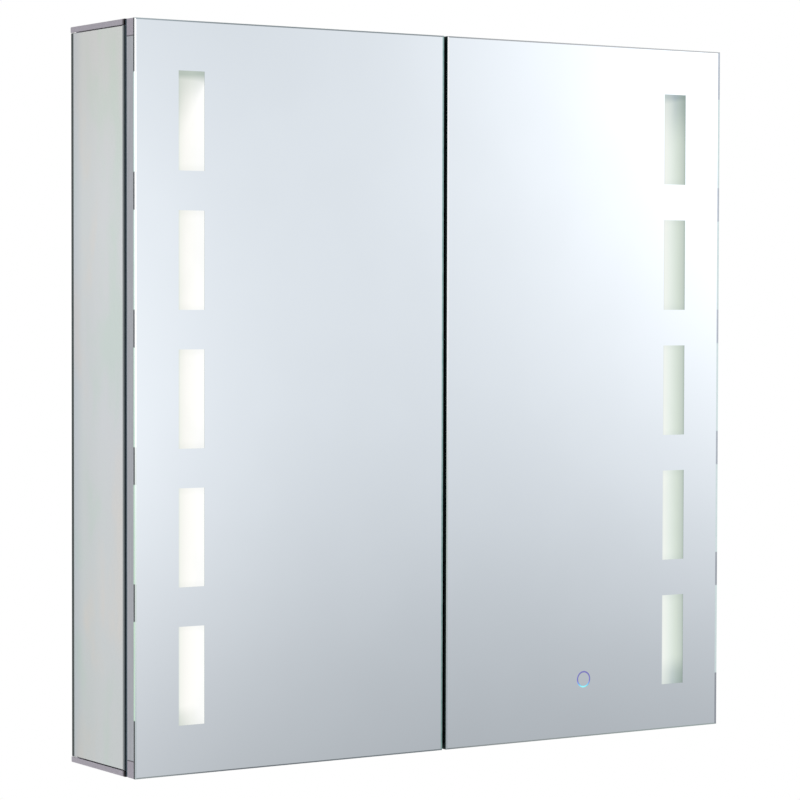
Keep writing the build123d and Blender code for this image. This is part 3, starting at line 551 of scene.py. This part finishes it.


# Painted reflection on the arris: up its sides, and along the top and the bottom from left to right
ARRIS_REFLECTION_UP = (
    (0.0, (0.40, 0.46, 0.50, 1)),
    (0.3, (0.52, 0.60, 0.60, 1)),
    (0.6, (0.84, 0.88, 0.93, 1)),
    (1.0, (0.90, 0.94, 0.97, 1)),
)
ARRIS_REFLECTION_TOP = (
    (0.0, (0.36, 0.42, 0.45, 1)),
    (0.15, (0.25, 0.29, 0.31, 1)),
    (0.45, (0.27, 0.31, 0.33, 1)),
    (0.6, (0.40, 0.42, 0.44, 1)),
    (0.8, (0.50, 0.52, 0.54, 1)),
    (1.0, (0.56, 0.58, 0.59, 1)),
)
ARRIS_REFLECTION_BOTTOM = (
    (0.0, (0.30, 0.34, 0.35, 1)),
    (0.15, (0.17, 0.19, 0.21, 1)),
    (0.48, (0.18, 0.21, 0.23, 1)),
    (0.55, (0.26, 0.29, 0.30, 1)),
    (1.0, (0.32, 0.38, 0.38, 1)),
)
# Teal on the left door's edge at the gap, grey on the right door's outer edge
ARRIS_TEAL = ((0.3, (0.36, 0.58, 0.56, 1)), (0.7, (0.48, 0.70, 0.68, 1)))
ARRIS_GREY = ((0.3, (0.40, 0.43, 0.48, 1)), (0.7, (0.46, 0.49, 0.54, 1)))
# Light leaking out beside the windows on each door, and a painted glow up the right door's outer edge
LEFT_LEAK = (0.24, 0.29, 0.27, 1)
RIGHT_LEAK = (0.36, 0.44, 0.42, 1)
RIGHT_EDGE_GLOW = (0.20, 0.22, 0.25, 1)


def glass_arris():
    """Polished arris round the glass: silvery, with a painted reflection that changes along its sides, top
    and bottom, light leaking out beside each window and a painted glow up the right door's outer edge.
    """
    looks = {"Metallic": 1.0, "Roughness": 0.15, "Emission_Strength": 1.0}
    material, graph, shader = surface("glass_arris", **looks)
    ripple = graph.noise(220.0)
    x, _, z = graph.split(graph.place())
    level = graph.span(graph.upright(), 0.2, 0.4)
    upright = graph.math("SUBTRACT", 1.0, level)
    reach = graph.math("ABSOLUTE", x)
    inner = graph.math("LESS_THAN", reach, DOOR_INNER + RIGHT_ARRIS_WIDTH["left"])
    left_inner = graph.math("MULTIPLY", inner, graph.math("LESS_THAN", x, 0.0))
    right_outer = graph.math("GREATER_THAN", x, DOOR_OUTER - RIGHT_ARRIS_WIDTH["right"])
    outer = graph.math("GREATER_THAN", reach, DOOR_OUTER - RIGHT_ARRIS_WIDTH["right"])

    # Painted reflection: the arris's colour changes along the top and the bottom and up its sides
    reflection_top, reflection_bottom = (
        graph.ramp(graph.span(x, -DOOR_OUTER, DOOR_OUTER, smooth=False), stops)
        for stops in (ARRIS_REFLECTION_TOP, ARRIS_REFLECTION_BOTTOM))
    across = graph.mix(graph.math("GREATER_THAN", z, 0.0), reflection_bottom, reflection_top)
    pale = graph.ramp(graph.span(z, -DOOR_TOP, DOOR_TOP, smooth=False), ARRIS_REFLECTION_UP)
    ends = graph.mix(left_inner, pale, graph.ramp(ripple, ARRIS_TEAL))
    ends = graph.mix(right_outer, ends, graph.ramp(ripple, ARRIS_GREY))
    connect(graph, shader, Base_Color=graph.mix(level, ends, across))

    fade = graph.math("MAXIMUM", graph.span(z, -0.3, 0.15, 0.12, 1.0), right_outer)
    outer_upright = graph.math("MULTIPLY", outer, upright)
    lit = graph.math("MULTIPLY", outer_upright, graph.math("MULTIPLY", glow_row(graph, z), fade))
    leak = graph.mix(right_outer, LEFT_LEAK, RIGHT_LEAK)
    # Painted glow up the right door's outer edge, stronger towards the top
    right_upright = graph.math("MULTIPLY", right_outer, upright)
    edge_glow_share = graph.math("MULTIPLY", right_upright, graph.span(z, -0.3, 0.1, 0.3, 1.0))
    edge_glow = graph.mix(edge_glow_share, (0, 0, 0, 1), RIGHT_EDGE_GLOW)
    connect(graph, shader, Emission_Color=graph.mix(lit, edge_glow, leak))
    return material


# Colour of the lit windows across their width, in the middle of the light box and at its dim ends
WINDOW_BODY = {
    "left": (
        (0.0, srgb(226, 232, 226)),
        (0.08, srgb(243, 244, 238)),
        (0.3, srgb(251, 250, 246)),
        (0.5, srgb(254, 254, 250)),
        (0.75, srgb(255, 255, 254)),
        (1.0, srgb(253, 254, 252)),
    ),
    "right": (
        (0.0, srgb(228, 233, 230)),
        (0.08, srgb(240, 244, 238)),
        (0.3, srgb(231, 239, 232)),
        (0.5, srgb(220, 230, 221)),
        (0.7, srgb(209, 220, 209)),
        (0.9, srgb(195, 206, 197)),
        (1.0, srgb(176, 190, 180)),
    ),
}
WINDOW_DIM = {
    "left": (
        (0.0, srgb(180, 191, 182)),
        (0.5, srgb(186, 197, 188)),
        (1.0, srgb(178, 190, 182)),
    ),
    "right": (
        (0.0, srgb(192, 204, 202)),
        (0.3, srgb(184, 195, 195)),
        (0.5, srgb(166, 180, 184)),
        (0.7, srgb(160, 175, 173)),
        (1.0, srgb(144, 160, 153)),
    ),
}
# How the dim reaches down from the top and up from the bottom: its share beside the LED strip, what the
# far side adds, and the depth it reaches at each
DIM_TOP = {"left": (0.38, 0.15, 0.014, 0.056), "right": (0.35, 0.40, 0.054, 0.0)}
DIM_BOTTOM = {"left": (0.0, 0.40, 0.019, 0.0), "right": (0.35, 0.48, 0.030, 0.0)}
DIM_START = 0.006
# Dim band right at the top, and the dim inside every window's ends: its depth and share
TOP_BAND = 0.016
RIM_DEPTH = 0.008
RIM_SHARE = 0.10


def window_fall(graph, far, depth, near_share, far_share, near_reach, far_reach):
    """Share of the dim at a depth from one end of the light box."""
    share = graph.math("MULTIPLY_ADD", far, far_share, near_share)
    reach = graph.math("MULTIPLY_ADD", far, far_reach, near_reach)
    return graph.math("MULTIPLY", share, graph.span(depth, DIM_START, reach, 1.0, 0.0))


def lit_window(side):
    """Etched window with the light box behind it. The light falls off away from the LED strip."""
    material, graph, shader = surface(f"{side}_window", Emission_Strength=1.0, Roughness=0.6)
    shader.inputs["Base Color"].default_value = (0.01, 0.01, 0.01, 1)
    shader.inputs["Specular IOR Level"].default_value = 0.08
    x, _, z = graph.split(graph.place())
    start = window_corners(side, 0)[0][0]
    across = graph.span(x, start, start + WINDOW_WIDTH, smooth=False)
    far = graph.math("SUBTRACT", 1.0, across) if side == "left" else across
    body, dim = (graph.ramp(across, stops[side], smooth=False) for stops in (WINDOW_BODY, WINDOW_DIM))

    end = WINDOW_PITCH * max(WINDOW_ROWS) + WINDOW_HEIGHT / 2
    below_top = graph.math("SUBTRACT", end, z)
    above_bottom = graph.math("ADD", end, z)
    shade = graph.span(below_top, 0.0, TOP_BAND, 1.0, 0.0)
    shade = graph.math("MAXIMUM", shade, window_fall(graph, far, below_top, *DIM_TOP[side]))
    shade = graph.math("MAXIMUM", shade, window_fall(graph, far, above_bottom, *DIM_BOTTOM[side]))
    half = WINDOW_HEIGHT / 2
    rim = graph.span(graph.off_row(z, WINDOW_PITCH), half - RIM_DEPTH, half, 0.0, RIM_SHARE)
    patches = graph.span(graph.noise(45.0, (1, 1, 0.5)), 0.3, 0.7, -0.04, 0.05)
    shade = graph.math("ADD", graph.math("ADD", shade, rim), patches, clamp=True)
    connect(graph, shader, Emission_Color=graph.mix(shade, body, dim))
    return material


def ring_glow():
    """Light of the touch switch: violet, turning blue and then cyan at the bottom."""
    material, graph, shader = surface("ring_glow", Emission_Strength=1.0, Roughness=0.3)
    shader.inputs["Base Color"].default_value = (0.02, 0.02, 0.03, 1)
    z = graph.split(graph.place())["Z"]
    height = graph.span(z, RING_CENTRE.z - RING_OUTER, RING_CENTRE.z + RING_OUTER, smooth=False)
    stops = (
        (0.05, srgb(140, 248, 255)),
        (0.16, srgb(110, 205, 245)),
        (0.28, srgb(118, 148, 235)),
        (0.42, srgb(114, 112, 200)),
        (1.0, srgb(112, 108, 182)),
    )
    connect(graph, shader, Emission_Color=graph.ramp(height, stops))
    return material


# ---------------------------------------------------------------- door glass shape

# Material slots of the door glass
SILVER, EDGE, FACET, WINDOW, WALL, PAINT, RING = range(7)
CIRCLE_POINTS = 64


def rectangle(shape, low, high, y):
    """Corner points, anticlockwise from the front."""
    corners = ((low[0], low[1]), (high[0], low[1]), (high[0], high[1]), (low[0], high[1]))
    return [shape.verts.new((x, y, z)) for x, z in corners]


def circle(shape, centre, radius, y):
    points = []
    for i in range(CIRCLE_POINTS):
        turn = 2 * math.pi * i / CIRCLE_POINTS
        x = centre.x + radius * math.cos(turn)
        points.append(shape.verts.new((x, y, centre.z + radius * math.sin(turn))))
    return points


def wall(shape, near, far, material):
    """Strip of faces between two loops with the same number of points."""
    for i in range(len(near)):
        after = (i + 1) % len(near)
        face = shape.faces.new((near[i], near[after], far[after], far[i]))
        face.material_index = material


def closed_edges(shape, loop):
    found = []
    for i in range(len(loop)):
        pair = (loop[i], loop[(i + 1) % len(loop)])
        found.append(shape.edges.get(pair) or shape.edges.new(pair))
    return found


def window_corners(side, row):
    """Lowest and highest (x, z) of one window."""
    inset = WINDOW_INSET - DOOR_OUTER
    left = inset if side == "left" else -inset - WINDOW_WIDTH
    low = row * WINDOW_PITCH - WINDOW_HEIGHT / 2
    return (left, low), (left + WINDOW_WIDTH, low + WINDOW_HEIGHT)


def door_glass(side, materials):
    """Mirror glass of one door: silvered face with sunk windows, arris, edge and painted back."""
    sign = -1 if side == "left" else 1
    ends = sorted((sign * DOOR_OUTER, sign * DOOR_INNER))
    shape = bmesh.new()
    inner_low = (ends[0] + ARRIS_WIDTH, ARRIS_WIDTH - DOOR_TOP)
    inner_high = (ends[1] - RIGHT_ARRIS_WIDTH[side], DOOR_TOP - ARRIS_WIDTH)
    front = rectangle(shape, inner_low, inner_high, GLASS_FRONT)
    shoulder = rectangle(shape, (ends[0], -DOOR_TOP), (ends[1], DOOR_TOP), GLASS_FRONT + ARRIS_DEPTH)
    back = rectangle(shape, (ends[0], -DOOR_TOP), (ends[1], DOOR_TOP), GLASS_BACK)
    wall(shape, front, shoulder, FACET)
    wall(shape, shoulder, back, EDGE)
    shape.faces.new(back).material_index = PAINT
    holes = []
    for row in WINDOW_ROWS:
        rim = rectangle(shape, *window_corners(side, row), GLASS_FRONT)
        bed = rectangle(shape, *window_corners(side, row), GLASS_FRONT + ETCH)
        wall(shape, rim, bed, WALL)
        shape.faces.new(bed).material_index = WINDOW
        holes.append(rim)
    if side == "right":
        loops = []
        for radius in (RING_OUTER, RING_INNER):
            rim = circle(shape, RING_CENTRE, radius, GLASS_FRONT)
            bed = circle(shape, RING_CENTRE, radius, GLASS_FRONT + ETCH)
            wall(shape, rim, bed, WALL)
            loops.append((rim, bed))
        wall(shape, loops[0][1], loops[1][1], RING)
        shape.faces.new(loops[1][0]).material_index = SILVER
        holes.append(loops[0][0])
    edges = closed_edges(shape, front)
    for hole in holes:
        edges += closed_edges(shape, hole)
    bmesh.ops.triangle_fill(shape, edges=edges, use_beauty=True)
    bmesh.ops.recalc_face_normals(shape, faces=shape.faces)
    mesh = bpy.data.meshes.new(f"{side}_mirror_glass")
    shape.to_mesh(mesh)
    shape.free()
    for material in materials:
        mesh.materials.append(material)
    piece = bpy.data.objects.new(f"{side}_mirror_glass", mesh)
    scene.collection.objects.link(piece)
    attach(piece, f"{side}_door")
    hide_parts(f"{side}_door_glass")


# ---------------------------------------------------------------- finishing the CAD nodes


def paint(material, *names):
    """Put one material in every slot of these CAD nodes."""
    for name in names:
        slots = nodes[name].material_slots
        if not slots:
            nodes[name].data.materials.append(material)
        for slot in slots:
            slot.material = material


def both(*names):
    return [f"{side}_{name}" for side in SIDES for name in names]


# Painted shade on the carcass's front edge, from the front to the rear
TRAY_FRONT_SHADE = ((0.0, srgb(48, 44, 46)), (0.55, srgb(116, 111, 118)), (1.0, srgb(180, 175, 185)))
LIP_FRONT_SHADE = (
    (0.0, srgb(76, 88, 94)),
    (0.45, srgb(114, 122, 126)),
    (0.8, srgb(168, 173, 175)),
    (1.0, srgb(190, 194, 194)),
)
INNER_SILVER = (0.86, 0.89, 0.89, 1)


def finish_cad_nodes():
    tray = anodised("tray_metal", srgb(186, 181, 191), "X")
    # Painted shade on the front edges of the trays and the side walls
    paint(paint_front_shade(tray, TRAY_FRONT_SHADE), "top_panel", "bottom_panel")
    wall_metal = anodised("carcass_side", srgb(200, 201, 204), "Z")
    paint(paint_front_shade(wall_metal, LIP_FRONT_SHADE, outer_only=True), *both("side_wall"))
    rail = darken_gap(line_joint(anodised("rail_metal", srgb(184, 179, 190), "X")))
    paint(rail, *both("top_rail", "bottom_rail"))
    stile = darken_gap(anodised("stile_metal", srgb(190, 193, 200), "Z"))
    paint(stile, *both("hinge_stile", "free_stile"))
    paint(side_silver(), *both("side_mirror"))
    paint(silver("inner_silver", INNER_SILVER, 0.02), *both("inner_mirror"), "inner_back_mirror")
    paint(powder_coat("back_paint", srgb(52, 62, 61), 0.5), "back_panel")
    paint(powder_coat("cover_paint", srgb(206, 208, 211), 0.42), "electrics_cover")
    paint(powder_coat("reflector_paint", srgb(240, 240, 238), 0.3), *both("led_channel"))
    paint(plated("bracket_zinc", srgb(196, 199, 204), 0.34), "corner_brackets", *both("corner_keys"))
    screws = [f"{part}_screws" for part in ("back_panel", "carcass", "cover", "hinge_plate", "hinge_arm")]
    paint(plated("screw_zinc", srgb(190, 192, 192), 0.28), *screws)
    nickel = plated("hinge_nickel", srgb(212, 208, 198), 0.18, 420.0)
    paint(nickel, "hinge_plates", "hinge_arms", *both("hinge_links"))
    paint(plated("hinge_casting", srgb(188, 188, 187), 0.32, 600.0), *both("hinge_cups"))
    chrome = plated("pin_chrome", srgb(222, 222, 224), 0.10, 500.0)
    paint(chrome, "shelf_pins", "arm_pins", *both("cup_pins"))
    paint(moulded("seal_rubber", srgb(58, 74, 84), 0.75), "door_seal")
    rubber = moulded("grommet_rubber", srgb(34, 35, 37), 0.7)
    paint(rubber, "mains_grommet", "lead_grommets", *both("stile_grommet"))
    paint(moulded("bumper_silicone", srgb(226, 230, 230), 0.35, 600.0), *both("bumpers"))
    paint(moulded("driver_plastic", srgb(228, 228, 224), 0.45), "led_driver")
    paint(moulded("controller_plastic", srgb(48, 49, 52), 0.5), "touch_controller")
    paint(moulded("terminal_plastic", srgb(232, 230, 218), 0.4), "terminal_block")
    paint(shelf_glass(), "lower_shelf", "middle_shelf", "upper_shelf")
    paint(circuit_board(), "touch_board")
    paint(led_board(), *both("led_strip"))
    paint(opal("opal_diffuser"), *both("diffuser"))
    paint(ring_glow(), "touch_ring")


def make_door_glasses():
    front = silver("door_silver", DOOR_SILVER, 0.01)
    backing = powder_coat("mirror_backing", srgb(120, 128, 130), 0.6)
    rim = moulded("window_rim", srgb(150, 162, 156), 0.5)
    shared = (front, glass_edge(), glass_arris())
    glow = ring_glow()
    for side in SIDES:
        door_glass(side, (*shared, lit_window(side), rim, backing, glow))


scene.view_settings.view_transform = "Standard"
make_camera()
make_world()
make_floor()
finish_cad_nodes()
make_door_glasses()
